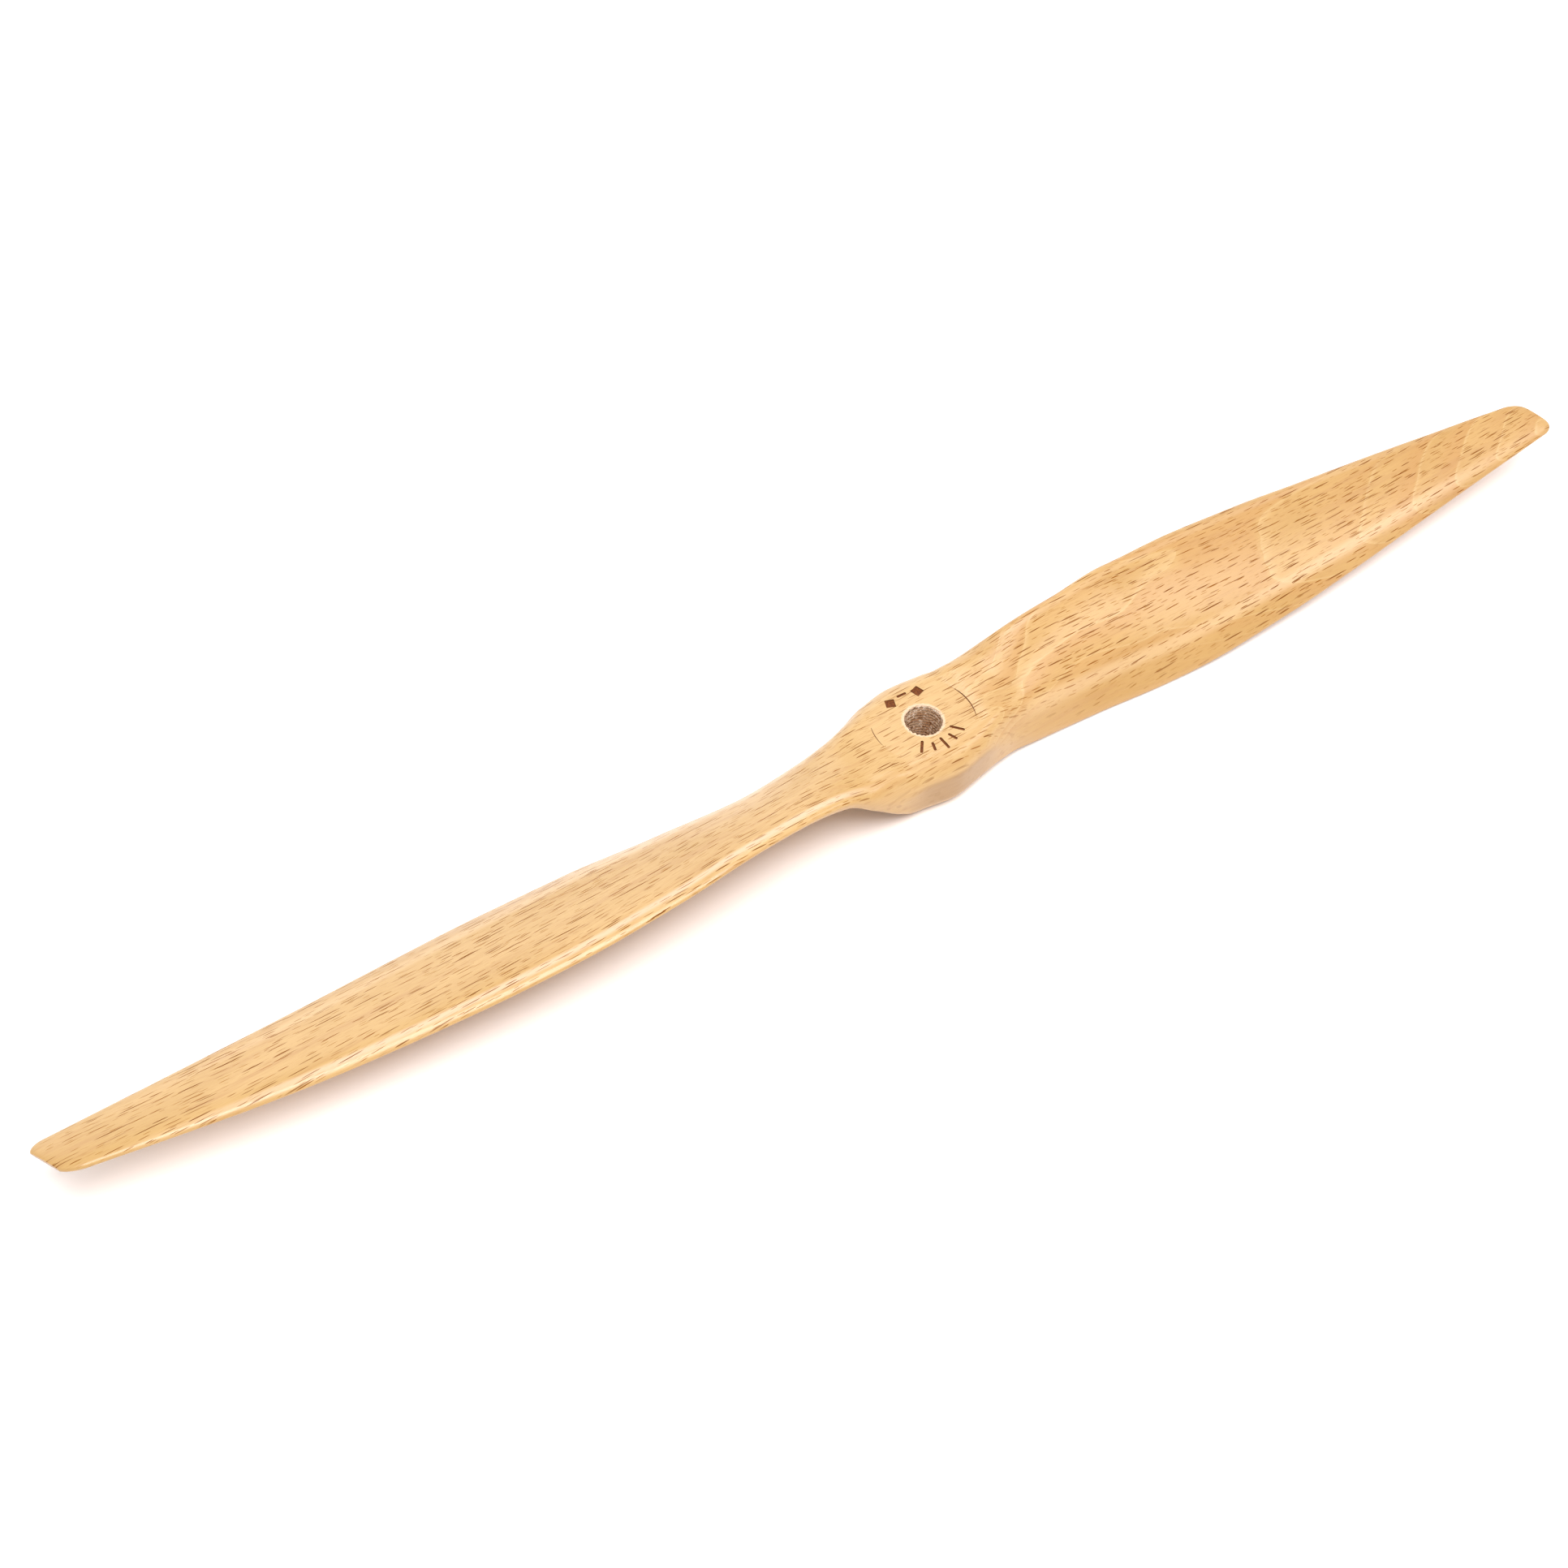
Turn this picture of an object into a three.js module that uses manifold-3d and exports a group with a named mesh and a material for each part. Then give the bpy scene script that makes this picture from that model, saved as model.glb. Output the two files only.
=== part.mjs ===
// Two-blade wooden propeller for an electric model aircraft, carved from one block.
// Millimetres. The bore axis is Z, the hub's rear face is z = 0 and the front face looks up +Z.
// The blades run along X. Seen from the front the propeller turns counter-clockwise,
// so the blade on +X leads with its +Y edge. The other blade is the same one turned half a turn.
import * as THREE from 'three';
import { mergeVertices } from 'three/addons/utils/BufferGeometryUtils.js';
import Module from 'manifold-3d';

const DIAMETER = 381; // marked 15 in
const PITCH = 254; // marked 10 in
const HUB_HEIGHT = 14;
const BORE_DIAMETER = 8;
const SPOT_FACE_DIAMETER = 22.8; // turned flat around the bore, where the washer seats
const TIP_SLANT = 0.45; // how far the tip is cut back, per millimetre from trailing to leading edge
const TIP_ROUND = 2.6; // length over which the corners of the tip are rounded off
const TIP_SHRINK = 0.32; // share of the section that the rounding takes off at the very end
const WOOD_COLOUR = '#f0c387';

const TIP_RADIUS = DIAMETER / 2;
const SLANT_START = 0.8 * TIP_RADIUS;
const HUB_WALL = HUB_HEIGHT - 3; // up to where the rounding of the hub's rim starts

// Each curve below is [distance from the bore axis, value] and is joined up smoothly.
// Plan outline: how far each edge stands from the line through the two tips.
const TRAILING_OUT = [
  [0, 13.4], [8, 12.1], [14, 10.9], [20, 10.2], [27, 10.5], [42, 11.5], [60, 13.3],
  [80, 14.5], [100, 14.3], [120, 13.4], [140, 12.2], [160, 11.1], [TIP_RADIUS, 9.6],
];
const LEADING_OUT = [
  [0, 13.4], [8, 12.7], [14, 12.2], [20, 11.6], [27, 10.7], [42, 11.1], [60, 12.4],
  [80, 12.9], [100, 12.1], [120, 10.3], [140, 8.1], [160, 5.3], [178, 2.9], [TIP_RADIUS, 0.8],
];
// Height of the rear face at the trailing edge, and how much of the full pitch the blade has.
const TRAILING_HEIGHT = [
  [0, 0], [10, 0], [14, 0.2], [60, 0.2], [80, 1.4], [100, 3.1], [140, 6.7], [160, 8.7], [TIP_RADIUS, 11.7],
];
const PITCH_SHARE = [
  [0, 0], [8, 0], [10, 0.004], [14, 0.044], [20, 0.185], [27, 0.42], [42, 0.73], [60, 0.93], [80, 0.98],
  [110, 1], [TIP_RADIUS, 1],
];
// Thickness above the rear face, from the trailing edge to the leading edge.
const TRAILING_WALL = [
  [0, HUB_WALL], [8, HUB_WALL], [14, 8.0], [20, 5.0], [27, 2.6], [42, 1.3], [TIP_RADIUS, 0.8],
];
const RIDGE_THICKNESS = [
  [0, HUB_HEIGHT], [8, HUB_HEIGHT], [10, 13.96], [14, 13.4], [20, 11.5], [27, 8.6], [42, 5.3], [60, 4.7],
  [80, 4.0], [120, 2.6], [TIP_RADIUS, 1.3],
];
const MIDDLE_THICKNESS = [
  [0, HUB_HEIGHT], [8, HUB_HEIGHT], [10, 13.8], [14, 12.7], [20, 10.2], [27, 8.0], [42, 6.0], [60, 5.0],
  [80, 4.3], [120, 3.1], [TIP_RADIUS, 1.6],
];
const SHOULDER_THICKNESS = [
  [0, HUB_HEIGHT], [8, HUB_HEIGHT], [10, 13.66], [14, 11.9], [20, 7.5], [27, 4.4], [42, 3.6],
  [80, 3.1], [120, 2.8], [TIP_RADIUS, 1.5],
];
const LEADING_WALL = [
  [0, HUB_WALL], [8, HUB_WALL], [14, 6.6], [20, 4.0], [27, 2.3], [42, 1.3], [80, 1.0],
  [TIP_RADIUS, 0.7],
];
// Where the ridge and the shoulder sit, as shares of the width from their own edge.
const RIDGE_SHARE = [
  [0, 0.12], [8, 0.12], [14, 0.125], [20, 0.13], [27, 0.145], [42, 0.19], [TIP_RADIUS, 0.16],
];
const SHOULDER_SHARE = [[0, 0.12], [8, 0.12], [14, 0.11], [TIP_RADIUS, 0.1]];
const MIDDLE_SHARE = [[0, 0.5], [14, 0.52], [42, 0.56], [TIP_RADIUS, 0.56]];
const NOSE_TUCK = [[0, 0], [8, 0.02], [14, 0.015], [34, 0.04], [TIP_RADIUS, 0.04]];

// Longest rounding allowed at the corners of a section. The one at the ridge and the shoulder
// grows along the blade. The middle is rounded as far as its neighbours allow.
const REAR_ROUNDING = 3.6;
const EDGE_ROUNDING = 2;
const RIDGE_ROUNDING = [[0, 2.2], [10, 2.2], [27, 4], [TIP_RADIUS, 4]];
// The most of an edge that a rounding may use, and the same for the two rear corners.
const EDGE_SHARE = 0.48;
const REAR_SHARE = 0.33;

// How finely the surface is divided.
const ARC_STEPS = 3; // along each rounded corner
const REAR_STEPS = 6; // across the rear face
const RING_STEPS = [
  { from: 0, to: 36, step: 2 },
  { from: 36, to: 60, step: 3 },
  { from: 60, to: 180, step: 5 },
  { from: 180, to: TIP_RADIUS - TIP_ROUND, step: 2 },
];
const TIP_RINGS = [1, 0.6, 0.3, 0.1, 0]; // left to go, as shares of the tip's rounding
const BORE_SEGMENTS = 48;
const SPOT_FACE_SEGMENTS = 72;
const CUTTER_OVERRUN = 8; // how far a cutter reaches past the wood it cuts
const SAME_POINT = 1e-4;

// Smooth curve through the points that never swings past them.
function valueAt(points, r) {
  const last = points.length - 2;
  let i = 0;
  while (i < last && r > points[i + 1][0]) {
    i += 1;
  }
  const [x0, y0] = points[i];
  const [x1, y1] = points[i + 1];
  const h = x1 - x0;
  const t = THREE.MathUtils.clamp((r - x0) / h, 0, 1);
  const m0 = h * slopeAt(points, i);
  const m1 = h * slopeAt(points, i + 1);
  const a = 2 * y0 + m0 - 2 * y1 + m1;
  const b = -3 * y0 - 2 * m0 + 3 * y1 - m1;
  return ((a * t + b) * t + m0) * t + y0;
}

function slopeAt(points, i) {
  const run = (j) => points[j + 1][0] - points[j][0];
  const rise = (j) => (points[j + 1][1] - points[j][1]) / run(j);
  if (i === 0) {
    return 0;
  }
  if (i === points.length - 1) {
    return rise(i - 1);
  }
  if (rise(i - 1) * rise(i) <= 0) {
    return 0;
  }
  const before = 2 * run(i) + run(i - 1);
  const after = run(i) + 2 * run(i - 1);
  return (before + after) / (before / rise(i - 1) + after / rise(i));
}

// The corners of the blade's section at radius r, as (y, z), trailing edge first.
function sectionCorners(r) {
  const trailing = -valueAt(TRAILING_OUT, r);
  const leading = valueAt(LEADING_OUT, r);
  const width = leading - trailing;
  const low = valueAt(TRAILING_HEIGHT, r);
  const slope = (valueAt(PITCH_SHARE, r) * PITCH) / (2 * Math.PI * Math.max(r, 1));
  const corner = (share, thickness) => {
    return new THREE.Vector2(trailing + share * width, low + share * width * slope + thickness);
  };
  return [
    corner(0, 0),
    corner(0, valueAt(TRAILING_WALL, r)),
    corner(valueAt(RIDGE_SHARE, r), valueAt(RIDGE_THICKNESS, r)),
    corner(valueAt(MIDDLE_SHARE, r), valueAt(MIDDLE_THICKNESS, r)),
    corner(1 - valueAt(SHOULDER_SHARE, r), valueAt(SHOULDER_THICKNESS, r)),
    corner(1, valueAt(LEADING_WALL, r)),
    corner(1 - valueAt(NOSE_TUCK, r), 0),
  ];
}

// The closed outline of a section: a rounded corner for each corner, then the flat rear face.
function sectionOutline(r) {
  const corners = sectionCorners(r);
  const ridge = valueAt(RIDGE_ROUNDING, r);
  const limits = [REAR_ROUNDING, EDGE_ROUNDING, ridge, Infinity, ridge, EDGE_ROUNDING, REAR_ROUNDING];
  const count = corners.length;
  const outline = [];
  corners.forEach((corner, i) => {
    const before = corners[(i + count - 1) % count];
    const after = corners[(i + 1) % count];
    const share = i === 0 || i === count - 1 ? REAR_SHARE : EDGE_SHARE;
    const start = towards(corner, before, Math.min(limits[i], share * corner.distanceTo(before)));
    const end = towards(corner, after, Math.min(limits[i], share * corner.distanceTo(after)));
    outline.push(...new THREE.QuadraticBezierCurve(start, corner, end).getPoints(ARC_STEPS));
  });
  const from = outline[outline.length - 1];
  const to = outline[0];
  for (let i = 1; i < REAR_STEPS; i += 1) {
    outline.push(from.clone().lerp(to, i / REAR_STEPS));
  }
  return outline;
}

function towards(from, to, distance) {
  return to.clone().sub(from).setLength(distance).add(from);
}

// One ring of the blade on +X: the section, slanted and rounded off as it nears the tip.
function bladeRing(r) {
  const outline = sectionOutline(r);
  const middle = outline.reduce((sum, p) => sum.add(p), new THREE.Vector2()).divideScalar(outline.length);
  const inset = Math.max(0, 1 - (TIP_RADIUS - r) / TIP_ROUND);
  const shrink = 1 - TIP_SHRINK * (1 - Math.sqrt(1 - inset * inset));
  const slant = TIP_SLANT * THREE.MathUtils.smoothstep(r, SLANT_START, TIP_RADIUS);
  const rounded = outline.map((p) => p.clone().sub(middle).multiplyScalar(shrink).add(middle));
  const trailing = Math.min(...rounded.map((p) => p.x));
  return rounded.map((p) => new THREE.Vector3(r - slant * (p.x - trailing), p.x, p.y));
}

// The matching ring of the other blade, with its points in the order they meet across the hub.
function oppositeRing(ring) {
  const turned = ring.map((p) => new THREE.Vector3(-p.x, -p.y, p.z));
  const arcs = ring.length - (REAR_STEPS - 1);
  return [...turned.slice(0, arcs).reverse(), ...turned.slice(arcs).reverse()];
}

function ringRadii() {
  const radii = [];
  RING_STEPS.forEach(({ from, to, step }) => {
    for (let r = from; r < to; r += step) {
      radii.push(r);
    }
  });
  TIP_RINGS.forEach((share) => radii.push(TIP_RADIUS - TIP_ROUND * share));
  return radii;
}

// Skin the rings from tip to tip and close both ends with a fan.
function bladePairGeometry() {
  const right = ringRadii().map(bladeRing);
  const left = right.slice(1).map(oppositeRing).reverse();
  const rings = [...left, ...right];
  const size = rings[0].length;
  const positions = rings.flat().flatMap((p) => p.toArray());
  const triangles = [];
  for (let i = 0; i + 1 < rings.length; i += 1) {
    for (let j = 0; j < size; j += 1) {
      const a = i * size + j;
      const b = i * size + ((j + 1) % size);
      triangles.push(a, a + size, b, b, a + size, b + size);
    }
  }
  const addCap = (ring, start, flip) => {
    const centre = new THREE.Vector3();
    ring.forEach((p) => centre.addScaledVector(p, 1 / size));
    const hub = positions.length / 3;
    positions.push(...centre.toArray());
    for (let j = 0; j < size; j += 1) {
      const a = start + j;
      const b = start + ((j + 1) % size);
      triangles.push(hub, flip ? b : a, flip ? a : b);
    }
  };
  addCap(rings[0], 0, false);
  addCap(rings[rings.length - 1], (rings.length - 1) * size, true);
  const geometry = new THREE.BufferGeometry();
  geometry.setAttribute('position', new THREE.Float32BufferAttribute(positions, 3));
  geometry.setIndex(triangles);
  return geometry;
}

function cylinderGeometry(diameter, low, high, segments) {
  const geometry = new THREE.CylinderGeometry(diameter / 2, diameter / 2, high - low, segments);
  geometry.rotateX(Math.PI / 2);
  geometry.translate(0, 0, (low + high) / 2);
  return geometry;
}

const wasm = await Module();
wasm.setup();

function toSolid(geometry) {
  const bare = new THREE.BufferGeometry();
  bare.setAttribute('position', geometry.getAttribute('position').clone());
  bare.setIndex(geometry.getIndex());
  const merged = mergeVertices(bare, SAME_POINT);
  return new wasm.Manifold(new wasm.Mesh({
    numProp: 3,
    vertProperties: new Float32Array(merged.getAttribute('position').array),
    triVerts: new Uint32Array(merged.getIndex().array),
  }));
}

function toGeometry(solid) {
  const mesh = solid.getMesh();
  const geometry = new THREE.BufferGeometry();
  geometry.setAttribute('position', new THREE.Float32BufferAttribute(mesh.vertProperties, 3));
  geometry.setIndex(new THREE.Uint32BufferAttribute(mesh.triVerts, 1));
  geometry.computeVertexNormals();
  return geometry;
}

function propellerMesh() {
  const top = HUB_HEIGHT + CUTTER_OVERRUN;
  const bore = toSolid(cylinderGeometry(BORE_DIAMETER, -CUTTER_OVERRUN, top, BORE_SEGMENTS));
  const spotFace = toSolid(cylinderGeometry(SPOT_FACE_DIAMETER, HUB_HEIGHT, top, SPOT_FACE_SEGMENTS));
  const carved = toSolid(bladePairGeometry()).subtract(spotFace).subtract(bore);
  const wood = new THREE.MeshStandardMaterial({ name: 'beech', color: WOOD_COLOUR, roughness: 0.42 });
  const mesh = new THREE.Mesh(toGeometry(carved), wood);
  mesh.name = 'propeller';
  return mesh;
}

const propeller = new THREE.Group();
propeller.name = 'wooden_propeller';
propeller.add(propellerMesh());

export default propeller;
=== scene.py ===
"""Wooden propeller for an electric model aircraft, lying on its back on a pale floor.

The row frame is in metres: the bore axis is Z, the hub's rear face is z = 0 and the blades run along X.
The shapes below are worked out in millimetres and turned into metres when a mesh is made.
"""

import math

import bpy
import numpy as np
from mathutils import Matrix, Vector


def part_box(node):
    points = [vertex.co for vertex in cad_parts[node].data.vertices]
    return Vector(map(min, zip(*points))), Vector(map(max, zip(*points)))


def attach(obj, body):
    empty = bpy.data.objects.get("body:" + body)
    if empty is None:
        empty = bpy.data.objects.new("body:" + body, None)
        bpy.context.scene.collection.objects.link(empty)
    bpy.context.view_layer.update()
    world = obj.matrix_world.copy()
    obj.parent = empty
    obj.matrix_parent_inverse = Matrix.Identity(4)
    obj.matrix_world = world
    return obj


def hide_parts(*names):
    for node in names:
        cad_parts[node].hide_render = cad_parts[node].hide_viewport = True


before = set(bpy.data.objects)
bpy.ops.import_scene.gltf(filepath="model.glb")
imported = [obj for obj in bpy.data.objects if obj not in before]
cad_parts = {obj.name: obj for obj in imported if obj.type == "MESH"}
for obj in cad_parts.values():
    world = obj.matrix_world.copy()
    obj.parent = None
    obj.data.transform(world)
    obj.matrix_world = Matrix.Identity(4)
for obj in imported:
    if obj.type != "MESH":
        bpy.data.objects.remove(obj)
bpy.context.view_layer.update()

MM = 0.001

# ---------------------------------------------------------------- sizes, as in the CAD part

TIP_RADIUS = 190.5
PITCH = 254.0
HUB_HEIGHT = 14.0
HUB_WALL = 11.0
BORE_RADIUS = 4.0
SPOT_FACE_RADIUS = 11.4
TIP_SLANT = 0.45
TIP_ROUND = 2.6
TIP_SHRINK = 0.32
SLANT_START = 0.8 * TIP_RADIUS

# Each curve is [distance from the bore axis, value].
TRAILING_OUT = [
    [0, 13.4], [8, 12.1], [14, 10.9], [20, 10.2], [27, 10.5], [42, 11.5], [60, 13.3],
    [80, 14.5], [100, 14.3], [120, 13.4], [140, 12.2], [160, 11.1], [TIP_RADIUS, 9.6],
]
LEADING_OUT = [
    [0, 13.4], [8, 12.7], [14, 12.2], [20, 11.6], [27, 10.7], [42, 11.1], [60, 12.4],
    [80, 12.9], [100, 12.1], [120, 10.3], [140, 8.1], [160, 5.3], [178, 2.9], [TIP_RADIUS, 0.8],
]
TRAILING_HEIGHT = [
    [0, 0], [10, 0], [14, 0.2], [60, 0.2], [80, 1.4], [100, 3.1], [140, 6.7], [160, 8.7],
    [TIP_RADIUS, 11.7],
]
PITCH_SHARE = [
    [0, 0], [8, 0], [10, 0.004], [14, 0.044], [20, 0.185], [27, 0.42], [42, 0.73], [60, 0.93], [80, 0.98],
    [110, 1], [TIP_RADIUS, 1],
]
TRAILING_WALL = [
    [0, HUB_WALL], [8, HUB_WALL], [14, 8], [20, 5], [27, 2.6], [42, 1.3], [TIP_RADIUS, 0.8],
]
RIDGE_THICKNESS = [
    [0, HUB_HEIGHT], [8, HUB_HEIGHT], [10, 13.96], [14, 13.4], [20, 11.5], [27, 8.6], [42, 5.3], [60, 4.7],
    [80, 4.0], [120, 2.6], [TIP_RADIUS, 1.3],
]
MIDDLE_THICKNESS = [
    [0, HUB_HEIGHT], [8, HUB_HEIGHT], [10, 13.8], [14, 12.7], [20, 10.2], [27, 8], [42, 6], [60, 5],
    [80, 4.3], [120, 3.1], [TIP_RADIUS, 1.6],
]
SHOULDER_THICKNESS = [
    [0, HUB_HEIGHT], [8, HUB_HEIGHT], [10, 13.66], [14, 11.9], [20, 7.5], [27, 4.4], [42, 3.6],
    [80, 3.1], [120, 2.8], [TIP_RADIUS, 1.5],
]
LEADING_WALL = [
    [0, HUB_WALL], [8, HUB_WALL], [14, 6.6], [20, 4], [27, 2.3], [42, 1.3], [80, 1.0],
    [TIP_RADIUS, 0.7],
]
RIDGE_SHARE = [
    [0, 0.12], [8, 0.12], [14, 0.125], [20, 0.13], [27, 0.145], [42, 0.19], [TIP_RADIUS, 0.16],
]
SHOULDER_SHARE = [[0, 0.12], [8, 0.12], [14, 0.11], [TIP_RADIUS, 0.1]]
MIDDLE_SHARE = [[0, 0.5], [14, 0.52], [42, 0.56], [TIP_RADIUS, 0.56]]
NOSE_TUCK = [[0, 0], [8, 0.02], [14, 0.015], [34, 0.04], [TIP_RADIUS, 0.04]]

REAR_ROUNDING = 3.6
EDGE_ROUNDING = 2.0
RIDGE_ROUNDING = [[0, 2.2], [10, 2.2], [27, 4], [TIP_RADIUS, 4]]
EDGE_SHARE = 0.48
REAR_SHARE = 0.33

# How finely the carved surface is divided, well beyond the CAD part.
ARC_STEPS = 8
REAR_STEPS = 14
RING_STEPS = [(0, 60, 0.75), (60, 180, 1.5), (180, TIP_RADIUS - TIP_ROUND, 0.75)]
TIP_RINGS = [1, 0.85, 0.7, 0.55, 0.4, 0.28, 0.18, 0.1, 0.04, 0]


# ---------------------------------------------------------------- the carved surface

def slopes(points):
    """Slopes of a smooth curve through the points that never swings past them."""
    run = np.diff(points[:, 0])
    rise = np.diff(points[:, 1]) / run
    out = np.zeros(len(points))
    for i in range(1, len(points) - 1):
        if rise[i - 1] * rise[i] > 0:
            before = 2 * run[i] + run[i - 1]
            after = run[i] + 2 * run[i - 1]
            out[i] = (before + after) / (before / rise[i - 1] + after / rise[i])
    out[-1] = rise[-1]
    return out


def value_at(curve, r):
    """Value of a curve at the distance r from the bore axis."""
    points = np.array(curve, float)
    m = slopes(points)
    i = min(max(int(np.searchsorted(points[:, 0], r)) - 1, 0), len(points) - 2)
    (x0, y0), (x1, y1) = points[i], points[i + 1]
    h = x1 - x0
    t = min(max((r - x0) / h, 0), 1)
    a = 2 * y0 + h * m[i] - 2 * y1 + h * m[i + 1]
    b = -3 * y0 - 2 * h * m[i] + 3 * y1 - h * m[i + 1]
    return ((a * t + b) * t + h * m[i]) * t + y0


def section_corners(r):
    """The section's corners as (y, z), from the rear of the trailing edge up and over the front."""
    trailing = -value_at(TRAILING_OUT, r)
    width = value_at(LEADING_OUT, r) - trailing
    low = value_at(TRAILING_HEIGHT, r)
    slope = value_at(PITCH_SHARE, r) * PITCH / (2 * math.pi * max(r, 1))

    def corner(share, thickness):
        return np.array([trailing + share * width, low + share * width * slope + thickness])

    return [
        corner(0, 0),
        corner(0, value_at(TRAILING_WALL, r)),
        corner(value_at(RIDGE_SHARE, r), value_at(RIDGE_THICKNESS, r)),
        corner(value_at(MIDDLE_SHARE, r), value_at(MIDDLE_THICKNESS, r)),
        corner(1 - value_at(SHOULDER_SHARE, r), value_at(SHOULDER_THICKNESS, r)),
        corner(1, value_at(LEADING_WALL, r)),
        corner(1 - value_at(NOSE_TUCK, r), 0),
    ]


def towards(start, end, distance):
    """The point that is the given distance from start on the way to end."""
    step = end - start
    return start + step * (distance / np.linalg.norm(step))


def section_outline(r):
    """The section with its corners rounded and its rear face divided."""
    corners = section_corners(r)
    count = len(corners)
    ridge = value_at(RIDGE_ROUNDING, r)
    limits = [REAR_ROUNDING, EDGE_ROUNDING, ridge, math.inf, ridge, EDGE_ROUNDING, REAR_ROUNDING]
    outline = []
    for i, corner in enumerate(corners):
        before, after = corners[i - 1], corners[(i + 1) % count]
        share = REAR_SHARE if i in (0, count - 1) else EDGE_SHARE
        start = towards(corner, before, min(limits[i], share * np.linalg.norm(before - corner)))
        end = towards(corner, after, min(limits[i], share * np.linalg.norm(after - corner)))
        for t in np.linspace(0, 1, ARC_STEPS + 1):
            outline.append((1 - t) ** 2 * start + 2 * t * (1 - t) * corner + t * t * end)
    first, last = outline[0], outline[-1]
    outline += [last + (first - last) * i / REAR_STEPS for i in range(1, REAR_STEPS)]
    return np.array(outline)


def blade_ring(r):
    """The section in place on the +X blade, smaller towards the tip and cut at a slant there."""
    outline = section_outline(r)
    middle = outline.mean(0)
    inset = max(0, 1 - (TIP_RADIUS - r) / TIP_ROUND)
    shrink = 1 - TIP_SHRINK * (1 - math.sqrt(1 - inset * inset))
    t = min(max((r - SLANT_START) / (TIP_RADIUS - SLANT_START), 0), 1)
    slant = TIP_SLANT * t * t * (3 - 2 * t)
    rounded = (outline - middle) * shrink + middle
    x = r - slant * (rounded[:, 0] - rounded[:, 0].min())
    return np.column_stack([x, rounded])


def opposite_ring(ring):
    """The same ring half a turn away on the -X blade, reversed so that it runs the same way round."""
    turned = ring * [-1, -1, 1]
    arcs = len(ring) - (REAR_STEPS - 1)
    return np.concatenate([turned[:arcs][::-1], turned[arcs:][::-1]])


def skin(rings):
    """Vertices and faces of closed rings joined in a row, with a fan over each end."""
    size, count = len(rings[0]), len(rings)
    points = np.concatenate([*rings, [rings[0].mean(0)], [rings[-1].mean(0)]])
    around = [(j, (j + 1) % size) for j in range(size)]
    faces = []
    for start in range(0, (count - 1) * size, size):
        for j, k in around:
            a, b = start + j, start + k
            faces += [(a, a + size, b), (b, a + size, b + size)]
    last = (count - 1) * size
    faces += [(count * size, a, b) for a, b in around]
    faces += [(count * size + 1, last + b, last + a) for a, b in around]
    return points, faces


def carved_blank():
    radii = [r for low, high, step in RING_STEPS for r in np.arange(low, high - 1e-6, step)]
    radii += [TIP_RADIUS - TIP_ROUND * share for share in TIP_RINGS]
    right = [blade_ring(r) for r in radii]
    left = [opposite_ring(ring) for ring in right[1:]][::-1]
    return skin(left + right)


def make_mesh(name, points, faces, materials):
    """An object in the scene, from points in millimetres."""
    mesh = bpy.data.meshes.new(name)
    mesh.from_pydata([tuple(p) for p in np.asarray(points) * MM], [], faces)
    mesh.validate()
    for material in materials:
        mesh.materials.append(material)
    made = bpy.data.objects.new(name, mesh)
    bpy.context.scene.collection.objects.link(made)
    return made


# ---------------------------------------------------------------- node helpers

class Graph:
    """Short names for the shader nodes that the materials are made of."""

    def __init__(self, name):
        self.material = bpy.data.materials.new(name)
        self.material.use_nodes = True
        self.nodes = self.material.node_tree.nodes
        self.links = self.material.node_tree.links
        self.shader = self.nodes["Principled BSDF"]

    def node(self, kind, sockets=(), **settings):
        made = self.nodes.new("ShaderNode" + kind)
        for key, value in settings.items():
            setattr(made, key, value)
        for key, value in dict(sockets).items():
            self.put(value, made.inputs[key])
        return made

    def put(self, value, socket):
        if isinstance(value, bpy.types.NodeSocket):
            self.links.new(value, socket)
        else:
            socket.default_value = value

    def maths(self, operation, a, b=0.0):
        return self.node("Math", {0: a, 1: b}, operation=operation).outputs[0]

    def add(self, a, b):
        return self.maths("ADD", a, b)

    def subtract(self, a, b):
        return self.maths("SUBTRACT", a, b)

    def times(self, a, b):
        return self.maths("MULTIPLY", a, b)

    def step(self, value, low, high, to_low=0.0, to_high=1.0):
        """Smoothly from to_low to to_high as value goes from low to high."""
        sockets = {"Value": value, "From Min": low, "From Max": high, "To Min": to_low, "To Max": to_high}
        made = self.node("MapRange", sockets, interpolation_type="SMOOTHSTEP")
        return made.outputs["Result"]

    def vector(self, operation, a, b=(0, 0, 0)):
        return self.node("VectorMath", {0: a, 1: b}, operation=operation).outputs[0]

    def length(self, a):
        return self.node("VectorMath", {0: a}, operation="LENGTH").outputs["Value"]

    def split(self, vector):
        return self.node("SeparateXYZ", {0: vector}).outputs

    def join(self, x, y, z):
        return self.node("CombineXYZ", {0: x, 1: y, 2: z}).outputs[0]

    def noise(self, vector, stretch, detail=2.0, roughness=0.5):
        scaled = self.vector("MULTIPLY", vector, stretch)
        sockets = {"Vector": scaled, "Scale": 1.0, "Detail": detail, "Roughness": roughness}
        return self.node("TexNoise", sockets).outputs["Fac"]

    def mix(self, share, a, b, blend="MIX"):
        made = self.node("Mix", data_type="RGBA", blend_type=blend)
        self.put(share, made.inputs[0])
        self.put(a, made.inputs[6])
        self.put(b, made.inputs[7])
        return made.outputs[2]

    def millimetres(self):
        place = self.node("TexCoord").outputs["Object"]
        return self.vector("MULTIPLY", place, (1000, 1000, 1000))

    def curve(self, value, points):
        """Smooth curve through the points, both ways from 0 to 1."""
        made = self.node("FloatCurve", {"Value": value})
        ends = made.mapping.curves[0].points
        ends[0].location, ends[1].location = points[0], points[-1]
        for point in points[1:-1]:
            ends.new(*point)
        made.mapping.update()
        return made.outputs[0]

    def bump(self, height, distance, strength):
        sockets = {"Height": height, "Distance": distance, "Strength": strength}
        return self.node("Bump", sockets).outputs[0]


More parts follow.
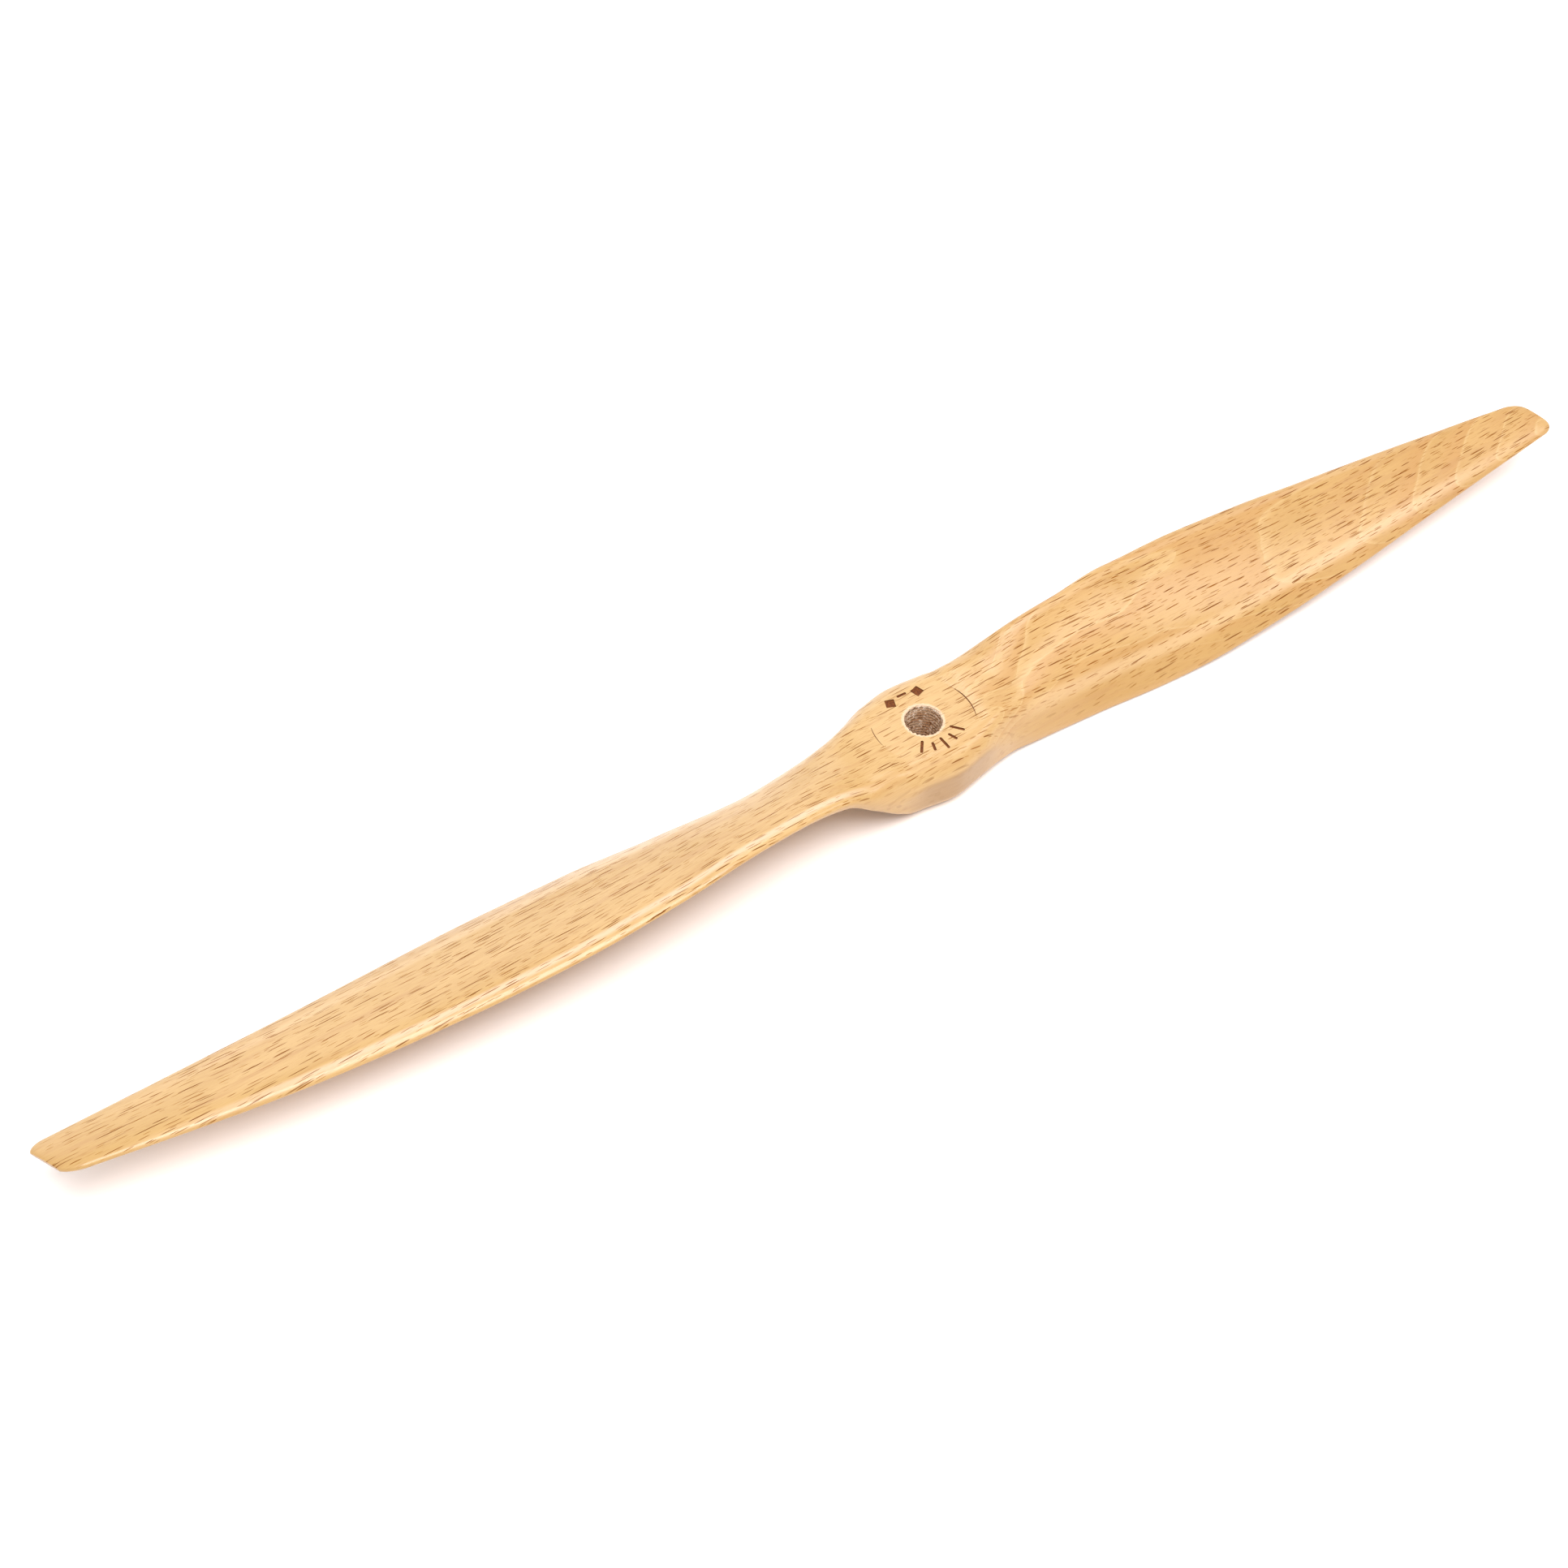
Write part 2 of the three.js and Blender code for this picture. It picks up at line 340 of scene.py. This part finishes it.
def srgb(red, green, blue):
    """Linear colour with alpha from a colour as seen on screen, 0 to 255."""
    def linear(value):
        value /= 255
        return value / 12.92 if value <= 0.04045 else ((value + 0.055) / 1.055) ** 2.4
    return (linear(red), linear(green), linear(blue), 1)


# ---------------------------------------------------------------- beech

# The growth layers lie nearly flat in the blank. This is how they climb along X, Y and Y squared.
RING_TILT_X = 0.031
RING_TILT_Y = -0.41
RING_BOW = 0.005
RING_PITCH = 1.35
RING_START = 14.1  # one ring's boundary on the bore axis
RIM_WIDTH = 0.85  # how far the drill has chipped the face around the bore
WIDEST = 16.0  # no part of a section stands out this far from the line of the tips
# The pale bands are painted highlights along the ridges and the shoulders.
BAND_POINTS = 16  # how many points say where a pale band runs
RIDGE_BAND = 1.8  # half the width of the pale band along the ridge
SHOULDER_BAND = 1.1
FEED = 0.9  # how far the drill went down in one turn

LIGHT_BEECH = srgb(199, 160, 101)
DEEP_BEECH = srgb(190, 150, 88)
HUB_BEECH = srgb(203, 166, 113)
MORE_GOLDEN = (0.95, 0.9, 0.8, 1)  # what the wood on the +X blade is multiplied by
LATE_WOOD = srgb(184, 134, 72)
RING_LINE = srgb(216, 185, 135)
STREAK = srgb(176, 128, 74)
FIBRE = srgb(174, 128, 76)
# Colours of the painted highlights along the ridges and the shoulders.
PAINTED_RIDGE_HIGHLIGHT = srgb(226, 194, 154)
PAINTED_SHOULDER_HIGHLIGHT = srgb(232, 204, 178)
HAIR_RAY = srgb(160, 106, 36)
# Colour of the painted shade on the hub's steep walls.
PAINTED_WALL_SHADE = srgb(152, 112, 60)
END_GRAIN = srgb(140, 92, 46)
CHIPPED_RIM = srgb(222, 194, 166)


def growth_rings(g, place):
    """How dark the late wood is, and the pale line that starts each ring."""
    x, y, z = g.split(place)
    layer = g.add(z, g.times(x, RING_TILT_X))
    layer = g.add(layer, g.times(y, RING_TILT_Y))
    layer = g.add(layer, g.times(g.times(y, y), RING_BOW))
    ripple = g.subtract(g.noise(place, (0.03, 0.09, 0.09), 2.0, 0.4), 0.5)
    layer = g.add(layer, g.times(ripple, 0.5))
    count = g.maths("DIVIDE", g.subtract(layer, RING_START), RING_PITCH)
    part = g.maths("FRACT", count)
    late = g.times(g.step(part, 0.2, 0.92), g.step(part, 1.0, 0.95))
    each = g.node("TexWhiteNoise", {"W": g.maths("FLOOR", count)}, noise_dimensions="1D").outputs["Value"]
    bold = g.times(g.step(layer, 12.4, 13.4, 0.25, 1.0), g.step(x, 8, 18, 0.3, 1.0))
    late = g.times(g.times(late, bold), g.step(each, 0, 1, 0.45, 1.0))
    return late, g.times(g.step(part, 0.1, 0.0), bold)


def section_width(r):
    return value_at(TRAILING_OUT, r) + value_at(LEADING_OUT, r)


def ridge_out(r):
    """How far the ridge is from the line of the tips."""
    return value_at(TRAILING_OUT, r) - value_at(RIDGE_SHARE, r) * section_width(r)


def shoulder_out(r):
    """How far the shoulder is from the line of the tips."""
    return value_at(LEADING_OUT, r) - value_at(SHOULDER_SHARE, r) * section_width(r)


def painted_highlight_band(g, x, y, normal, out, half_width):
    """A painted highlight: a pale band along each blade's front face. out(r) is how far it is from the line
    of the tips.
    """
    reach = g.maths("ABSOLUTE", x)
    radii = np.linspace(0, TIP_RADIUS, BAND_POINTS)
    points = [(r / TIP_RADIUS, max(out(r), 0) / WIDEST) for r in radii]
    middle = g.times(g.curve(g.maths("DIVIDE", reach, TIP_RADIUS), points), WIDEST)
    gap = g.maths("ABSOLUTE", g.subtract(g.times(y, g.maths("SIGN", x)), middle))
    band = g.times(g.step(gap, half_width, 0.15 * half_width), g.step(normal[2], 0.0, 0.3))
    return g.times(band, g.times(g.step(reach, 16, 30), g.step(reach, 185, 130)))


# Rays by size: cell, half length, half width and half depth in millimetres, the share of cells that
# have one, how strong it is, and its colour.
RAY_SIZES = [
    ((3.8, 0.62, 0.8), 1.7, 0.07, 0.4, 0.5, 0.8, srgb(144, 88, 18)),
    ((5.4, 1.0, 1.2), 2.7, 0.105, 0.62, 0.75, 0.9, srgb(126, 68, 4)),
    ((8.6, 1.6, 1.7), 4.1, 0.135, 0.9, 0.7, 0.9, srgb(108, 52, 0)),
]


def flecks(g, place, cell, half_length, half_width, half_depth, presence, seed):
    """Rays seen end on: short dark dashes along the grain, one at most in each cell."""
    shifted = g.vector("ADD", place, (seed * 17.3, seed * 5.7, seed * 9.1))
    scaled = g.vector("DIVIDE", shifted, cell)
    cells = g.node("TexVoronoi", {"Vector": scaled, "Scale": 1.0, "Randomness": 0.75})
    offset = g.vector("MULTIPLY", g.vector("SUBTRACT", scaled, cells.outputs["Position"]), cell)
    chance, stretch, tone = g.split(cells.outputs["Color"])
    along, across, deep = g.split(offset)
    reach = g.step(stretch, 0, 1, 0.5 * half_length, half_length)
    run = g.maths("DIVIDE", along, reach)
    girth = g.length(g.join(0.0, g.maths("DIVIDE", across, half_width), g.maths("DIVIDE", deep, half_depth)))
    far = g.add(g.maths("POWER", g.maths("ABSOLUTE", run), 2.5), girth)
    shape = g.step(far, 1.0, 0.7)
    there = g.maths("LESS_THAN", chance, presence)
    strength = g.step(tone, 0, 1, 0.65, 1.0)
    return g.times(g.times(shape, there), strength)


def plain_wood(g, place, grain, fibre, from_bore):
    """The wood's colour without its rays: growth rings, streaks and fibres."""
    along = g.split(place)[0]
    late, ring_line = growth_rings(g, place)
    blotch = g.noise(place, (0.03, 0.12, 0.12), 3.0)
    streak = g.noise(grain, (0.018, 0.7, 0.7), 3.0)
    colour = g.mix(g.step(blotch, 0.3, 0.7), LIGHT_BEECH, DEEP_BEECH)
    colour = g.mix(g.step(from_bore, 30, 6, 0, 0.5), colour, HUB_BEECH)
    colour = g.mix(g.step(along, 5, 40), colour, MORE_GOLDEN, "MULTIPLY")
    colour = g.mix(g.times(late, 0.7), colour, LATE_WOOD)
    colour = g.mix(g.times(ring_line, 0.25), colour, RING_LINE)
    colour = g.mix(g.step(streak, 0.5, 0.75, 0, 0.45), colour, STREAK)
    return g.mix(g.step(fibre, 0.42, 0.75, 0, 0.3), colour, FIBRE)


def with_painted_highlights(g, colour, x, y, normal):
    """Painted highlights: pale bands along the ridges, and along the shoulders too, most of all on the -X
    blade.
    """
    ridge = painted_highlight_band(g, x, g.times(y, -1), normal, ridge_out, RIDGE_BAND)
    shoulder = painted_highlight_band(g, x, y, normal, shoulder_out, SHOULDER_BAND)
    shoulder = g.times(shoulder, g.step(x, 10, -20, 0.2, 1))
    colour = g.mix(g.times(ridge, 0.34), colour, PAINTED_RIDGE_HIGHLIGHT)
    return g.mix(g.times(shoulder, 0.55), colour, PAINTED_SHOULDER_HIGHLIGHT)


def with_rays(g, colour, grain, upright):
    """The rays show as dark dashes on faces that look along Z and are lost on the steep walls."""
    flat = g.step(upright, 0.3, 0.8, 0.2, 1.0)
    hair = g.times(g.step(g.noise(grain, (0.3, 4.2, 2.4), 1.0), 0.6, 0.7), flat)
    colour = g.mix(g.times(hair, 0.35), colour, HAIR_RAY)
    rays = 0.0
    for seed, (cell, length, width, depth, presence, strength, tone) in enumerate(RAY_SIZES, 1):
        dashes = g.times(flecks(g, grain, cell, length, width, depth, presence, seed), flat)
        colour = g.mix(g.times(dashes, strength), colour, tone)
        rays = g.maths("MAXIMUM", rays, dashes)
    return colour, rays


def chipped_rim(g, place, from_bore):
    """Where the drill has left the wood around the front of the bore pale and rough."""
    crumbs = g.noise(place, (2.6, 2.6, 2.6), 4.0, 0.7)
    ragged = g.add(from_bore, g.times(g.subtract(crumbs, 0.5), 1.2))
    near = g.step(ragged, BORE_RADIUS + RIM_WIDTH, BORE_RADIUS + 0.5 * RIM_WIDTH)
    return g.times(near, g.step(g.split(place)[2], HUB_HEIGHT - 1, HUB_HEIGHT - 0.5))


def beech():
    g = Graph("beech_lacquered")
    place = g.millimetres()
    x, y, z = g.split(place)
    from_bore = g.length(g.join(x, y, 0.0))
    normal = g.split(g.node("TexCoord").outputs["Normal"])
    upright = g.maths("ABSOLUTE", normal[2])
    wander = g.subtract(g.noise(place, (0.035, 0.09, 0.09), 2.0), 0.5)
    grain = g.join(x, g.add(y, g.times(wander, 1.2)), z)
    fibre = g.noise(grain, (0.12, 3.2, 3.2), 4.0, 0.6)

    colour = plain_wood(g, place, grain, fibre, from_bore)
    colour = with_painted_highlights(g, colour, x, y, normal)
    colour, rays = with_rays(g, colour, grain, upright)

    # The steep walls of the hub get painted shade, and end grain soaks up more lacquer.
    steep = g.times(g.step(upright, 0.36, 0.1), g.step(from_bore, 19, 13))
    colour = g.mix(g.times(steep, 0.7), colour, PAINTED_WALL_SHADE)
    end_grain = g.step(g.maths("ABSOLUTE", normal[0]), 0.75, 0.97)
    colour = g.mix(g.times(end_grain, 0.6), colour, END_GRAIN)
    rim = chipped_rim(g, place, from_bore)
    colour = g.mix(g.times(rim, 0.8), colour, CHIPPED_RIM)

    g.put(colour, g.shader.inputs["Base Color"])
    rough = g.add(g.add(0.44, g.times(rim, 0.3)), g.add(g.times(fibre, 0.12), g.times(rays, 0.1)))
    g.put(rough, g.shader.inputs["Roughness"])
    height = g.subtract(g.times(fibre, 0.35), rays)
    g.put(g.bump(height, 0.00004, 0.5), g.shader.inputs["Normal"])
    # The lacquer has sunk into the rays and is gone from the rim.
    gloss = g.times(g.step(rim, 0, 1, 1, 0), g.step(rays, 0, 1, 1, 0.1))
    g.put(g.times(gloss, 0.65), g.shader.inputs["Coat Weight"])
    g.put(g.times(gloss, 0.4), g.shader.inputs["Specular IOR Level"])
    g.shader.inputs["IOR"].default_value = 1.5
    g.shader.inputs["Coat Roughness"].default_value = 0.24
    g.shader.inputs["Coat IOR"].default_value = 1.6
    return g.material


def bare_bore():
    """The drilled wall: scorched brown with feed rings and torn end grain, pale at the chipped rim."""
    g = Graph("beech_drilled")
    place = g.millimetres()
    x, y, z = g.split(place)
    angle = g.maths("ARCTAN2", y, x)
    turn = g.times(angle, 0.5 / math.pi)
    climb = g.add(z, g.times(turn, FEED))
    rub = g.noise(g.join(g.maths("COSINE", angle), g.maths("SINE", angle), climb), (1.6, 1.6, 1.8), 4.0, 0.6)
    crumbs = g.noise(place, (1.7, 1.7, 1.7), 4.0, 0.7)
    wave = g.maths("SINE", g.times(g.add(climb, g.times(rub, 0.4)), 2 * math.pi / FEED))
    colour = g.mix(g.step(rub, 0.36, 0.62), srgb(206, 158, 116), srgb(255, 226, 192))
    colour = g.mix(g.step(wave, 0.1, 0.8, 0, 0.75), colour, srgb(104, 68, 44))
    colour = g.mix(g.step(crumbs, 0.44, 0.36, 0, 0.8), colour, srgb(84, 52, 32))
    colour = g.mix(g.step(crumbs, 0.54, 0.6, 0, 0.95), colour, srgb(252, 236, 218))
    ragged = g.add(z, g.times(g.subtract(crumbs, 0.5), 0.9))
    colour = g.mix(g.step(ragged, HUB_HEIGHT - 0.5, HUB_HEIGHT - 0.15), colour, srgb(232, 204, 176))
    g.put(colour, g.shader.inputs["Base Color"])
    g.shader.inputs["Roughness"].default_value = 0.85
    g.shader.inputs["Specular IOR Level"].default_value = 0.2
    g.put(g.bump(g.add(rub, crumbs), 0.0002, 0.8), g.shader.inputs["Normal"])
    return g.material


def dark_wood(name, dark, light):
    """Wood browned by the tool that made a mark, in patches between two colours."""
    g = Graph(name)
    char = g.noise(g.millimetres(), (2.2, 5.0, 5.0), 3.0, 0.6)
    g.put(g.mix(g.step(char, 0.35, 0.7), dark, light), g.shader.inputs["Base Color"])
    g.shader.inputs["Roughness"].default_value = 0.7
    g.shader.inputs["Specular IOR Level"].default_value = 0.3
    g.put(g.bump(char, 0.0001, 0.6), g.shader.inputs["Normal"])
    return g.material


# ---------------------------------------------------------------- cutters

def lathe(name, profile, segments, materials, offset=None):
    """A closed turned solid. profile is (radius, height) from the axis, up the outside and back.

    offset moves a point: it takes its radius, height and angle and gives its radius and height.
    """
    angles = np.arange(segments) * 2 * math.pi / segments
    inner = profile[1:-1]
    points = [np.array([0, 0, profile[0][1]]), np.array([0, 0, profile[-1][1]])]
    for radius, height in inner:
        for angle in angles:
            r, z = (radius, height) if offset is None else offset(radius, height, angle)
            points.append(np.array([r * math.cos(angle), r * math.sin(angle), z]))
    around = [(j, (j + 1) % segments) for j in range(segments)]
    faces = [(0, 2 + b, 2 + a) for a, b in around]
    for i in range(len(inner) - 1):
        low, high = 2 + i * segments, 2 + (i + 1) * segments
        for a, b in around:
            faces += [(low + a, low + b, high + b), (low + a, high + b, high + a)]
    top = 2 + (len(inner) - 1) * segments
    faces += [(1, top + a, top + b) for a, b in around]
    return make_mesh(name, points, faces, materials)


OVERRUN = 6.0  # how far a cutter reaches past the wood it cuts
SPOT_FACE_SIDES = 128
BORE_SIDES = 160
BORE_STEP = 0.1
WAVES = 40  # how many waves the torn wall of the bore is made of
FEED_GROOVE = 0.035  # depth of the groove that the drill's feed left
RAG = 0.02  # how rough the wall is all round
END_GRAIN_RAG = 0.05  # how much rougher it is where the drill met the end grain
CHIP_DEPTH = 0.45  # how far down from the front face the rim is chipped
CHIP_REACH = 0.22
CHIP_RAG = 0.12


def spot_face_cutter(materials):
    flat = [(r, HUB_HEIGHT) for r in np.linspace(0, SPOT_FACE_RADIUS, 16)]
    wall = [(SPOT_FACE_RADIUS, HUB_HEIGHT + h) for h in np.linspace(0.3, OVERRUN, 8)]
    profile = flat + wall + [(0, HUB_HEIGHT + OVERRUN)]
    return lathe("spot_face_cutter", profile, SPOT_FACE_SIDES, materials)


def bore_cutter(materials):
    """The drill, as rough as the wall that it left."""
    rng = np.random.default_rng(15)
    waves = [(rng.integers(2, 40), rng.uniform(0, 9), rng.uniform(0, 2 * math.pi)) for _ in range(WAVES)]

    def torn(radius, z, angle):
        end_grain = abs(math.cos(angle)) ** 3
        rag = sum(math.sin(n * angle + k * z + p) for n, k, p in waves) / math.sqrt(WAVES)
        groove = FEED_GROOVE * math.sin(2 * math.pi * z / FEED + angle)
        rim = max(0, 1 - abs(z - HUB_HEIGHT) / CHIP_DEPTH)
        chip = rim * (CHIP_REACH + CHIP_RAG * rag)
        return radius + groove + RAG * rag + END_GRAIN_RAG * end_grain * rag + max(0, chip), z

    fine = np.arange(-0.2, HUB_HEIGHT + 0.6, BORE_STEP)
    bottom, top = -OVERRUN, HUB_HEIGHT + OVERRUN
    wall = [(BORE_RADIUS, z) for z in (bottom, *fine, top)]
    return lathe("bore_cutter", [(0, bottom), *wall, (0, top)], BORE_SIDES, materials, torn)


MARK_DEPTH = 0.2
MARK_TOP = 0.6  # how far the stamp that cuts a mark stands above the hub's front face
MARK_RADIUS = 8.1
TICK_RADIUS = 7.3
TICK_WIDTH = 0.62
LONG_TICK, SHORT_TICK = 3.3, 2.3
DIAMOND = 3.0
BAR_LENGTH, BAR_WIDTH = 2.4, 0.6
SCORE_WIDTH = 0.22
SCORE_DEPTH = 0.1
SCORE_SPANS = [(-29, 18), (157, 187)]  # degrees around the bore


def capsule(length, width):
    """Outline of a bar with round ends, long way up."""
    half = (length - width) / 2
    arc = np.linspace(0, math.pi, 11)
    top = [(width / 2 * math.cos(a), half + width / 2 * math.sin(a)) for a in arc]
    bottom = [(-x, -y) for x, y in top]
    return np.array(top + bottom)


def diamond(size):
    return np.array([(size / 2, 0), (0, size / 2), (-size / 2, 0), (0, -size / 2)])


def placed(outline, turn, radius, angle):
    """The outline turned about its middle, which is then put at the radius and angle from the bore."""
    turn, angle = math.radians(turn), math.radians(angle)
    spin = np.array([[math.cos(turn), -math.sin(turn)], [math.sin(turn), math.cos(turn)]])
    return outline @ spin.T + [radius * math.cos(angle), radius * math.sin(angle)]


def mark_outlines():
    """Plain ornaments around the bore: two diamonds with a bar between, and a fan of ticks."""
    yield placed(diamond(DIAMOND), 23, MARK_RADIUS, 113)
    yield placed(capsule(BAR_LENGTH, BAR_WIDTH), 88, MARK_RADIUS, 88)
    yield placed(diamond(DIAMOND), -28, MARK_RADIUS, 62)
    for i, angle in enumerate(range(-130, -49, 20)):
        length = SHORT_TICK if i % 2 else LONG_TICK
        yield placed(capsule(length, TICK_WIDTH), angle + 90, TICK_RADIUS, angle)


def score_outlines():
    """The thin lines that the spot-facing cutter left in the wood, pointed at both ends."""
    for first, last in SCORE_SPANS:
        share = np.linspace(0, 1, 41)[1:-1]
        angles = np.radians(first + (last - first) * share)
        around = np.column_stack([np.cos(angles), np.sin(angles)])
        half = (SCORE_WIDTH / 2 * np.sqrt(np.sin(math.pi * share)))[:, None]
        yield np.concatenate([around * (SPOT_FACE_RADIUS + half), (around * (SPOT_FACE_RADIUS - half))[::-1]])


def stamp(name, outlines, depth, materials):
    """Upright solids with the given outlines, reaching a little way into the hub's front face."""
    points, faces = [], []
    for outline in outlines:
        start, count = len(points), len(outline)
        points += [(x, y, HUB_HEIGHT - depth) for x, y in outline]
        points += [(x, y, HUB_HEIGHT + MARK_TOP) for x, y in outline]
        faces.append(tuple(start + j for j in reversed(range(count))))
        faces.append(tuple(start + count + j for j in range(count)))
        for j in range(count):
            k = (j + 1) % count
            faces.append((start + j, start + k, start + count + k, start + count + j))
    return make_mesh(name, points, faces, materials)


def cut(target, cutter):
    """Takes the cutter away from the target. The new faces keep the cutter's material."""
    modifier = target.modifiers.new(cutter.name, "BOOLEAN")
    modifier.operation = "DIFFERENCE"
    modifier.solver = "EXACT"
    modifier.material_mode = "TRANSFER"
    modifier.object = cutter
    apply(target, modifier)
    bpy.data.objects.remove(cutter)


def apply(target, modifier):
    with bpy.context.temp_override(object=target, active_object=target, selected_objects=[target]):
        bpy.ops.object.modifier_apply(modifier=modifier.name)


# ---------------------------------------------------------------- the propeller

WOOD = beech()
DRILLED = bare_bore()
BURNT = dark_wood("beech_burnt", srgb(80, 34, 4), srgb(130, 70, 18))
SCORED = dark_wood("beech_scored", srgb(110, 66, 36), srgb(150, 100, 60))

points, faces = carved_blank()
lowest, highest = (np.array(corner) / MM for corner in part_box("propeller"))
points = np.clip(points, lowest, highest)
propeller = make_mesh("carved_propeller", points, faces, [WOOD])
cut(propeller, spot_face_cutter([WOOD]))
cut(propeller, bore_cutter([DRILLED]))
cut(propeller, stamp("score_cutter", score_outlines(), SCORE_DEPTH, [SCORED]))
cut(propeller, stamp("mark_cutter", mark_outlines(), MARK_DEPTH, [BURNT]))
propeller.data.shade_smooth()
propeller.data.set_sharp_from_angle(angle=math.radians(32))
weighted = propeller.modifiers.new("weighted_normals", "WEIGHTED_NORMAL")
weighted.keep_sharp = True

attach(propeller, "root")
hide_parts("propeller")

# ---------------------------------------------------------------- floor, light and camera

FLOOR_SIZE = 6000.0
FLOOR_DROP = 0.02  # keeps the floor clear of the hub's rear face
PAPER = (0.92, 0.86, 0.84, 1)
SKY_STRENGTH = 0.72

floor = make_mesh(
    "floor",
    np.array([(-1, -1, 0), (1, -1, 0), (1, 1, 0), (-1, 1, 0)]) * FLOOR_SIZE / 2,
    [(0, 1, 2, 3)],
    [],
)
floor.location.z = -FLOOR_DROP * MM
paper = Graph("white_paper")
paper.shader.inputs["Base Color"].default_value = PAPER
paper.shader.inputs["Roughness"].default_value = 0.9
paper.shader.inputs["Specular IOR Level"].default_value = 0.1
floor.data.materials.append(paper.material)

world = bpy.data.worlds.new("studio")
bpy.context.scene.world = world
world.use_nodes = True
world.node_tree.nodes["Background"].inputs["Color"].default_value = (1, 1, 1, 1)
world.node_tree.nodes["Background"].inputs["Strength"].default_value = SKY_STRENGTH


def soft_box(name, place, size, power):
    """A rectangular lamp that faces the middle of the floor."""
    light = bpy.data.lights.new(name, "AREA")
    light.shape = "RECTANGLE"
    light.size, light.size_y = size
    light.energy = power
    made = bpy.data.objects.new(name, light)
    bpy.context.scene.collection.objects.link(made)
    made.location = place
    made.rotation_euler = (-Vector(place)).to_track_quat("-Z", "Y").to_euler()


# Name, place, size and power of each lamp, in metres and watts.
LAMPS = [
    ("overhead", (-0.08, -0.3, 1.0), (0.6, 0.6), 9.5),
    ("side", (0.8, -0.4, 0.9), (0.4, 0.4), 1.8),
    ("top", (0.3, 0.32, 0.9), (0.3, 0.3), 1.4),
    ("back", (0.3, 1.3, 0.5), (1.6, 0.7), 4),
]
for lamp in LAMPS:
    soft_box(*lamp)

# Where the camera stands, in millimetres, how it is turned, in degrees, and its lens.
CAMERA_PLACE = (-171.18, -173.67, 300.73)
CAMERA_YAW, CAMERA_PITCH, CAMERA_ROLL = 37.197, 52.585, 3.243
CAMERA_LENS = 40.81
CAMERA_SHIFT = (0.0089, 0.0078)
SENSOR_WIDTH = 36
VIEW_DEPTH = (0.01, 20)  # nearest and farthest that it sees, in metres


def camera_turn(yaw, pitch, roll):
    """Turn of a camera that looks along yaw from +Y, pitch below the horizon, rolled about its view."""
    yaw, pitch, roll = map(math.radians, (yaw, pitch, roll))
    look = Vector((math.sin(yaw) * math.cos(pitch), math.cos(yaw) * math.cos(pitch), -math.sin(pitch)))
    right = Vector((math.cos(yaw), -math.sin(yaw), 0))
    up = right.cross(look)
    rolled_right = math.cos(roll) * right + math.sin(roll) * up
    rolled_up = math.cos(roll) * up - math.sin(roll) * right
    return Matrix((rolled_right, rolled_up, -look)).transposed()


lens = bpy.data.cameras.new("camera")
lens.lens = CAMERA_LENS
lens.sensor_width = SENSOR_WIDTH
lens.shift_x, lens.shift_y = CAMERA_SHIFT
lens.clip_start, lens.clip_end = VIEW_DEPTH
camera = bpy.data.objects.new("camera", lens)
bpy.context.scene.collection.objects.link(camera)
turn = camera_turn(CAMERA_YAW, CAMERA_PITCH, CAMERA_ROLL)
camera.matrix_world = Matrix.Translation(Vector(CAMERA_PLACE) * MM) @ turn.to_4x4()
bpy.context.scene.camera = camera
bpy.context.scene.view_settings.view_transform = "Standard"
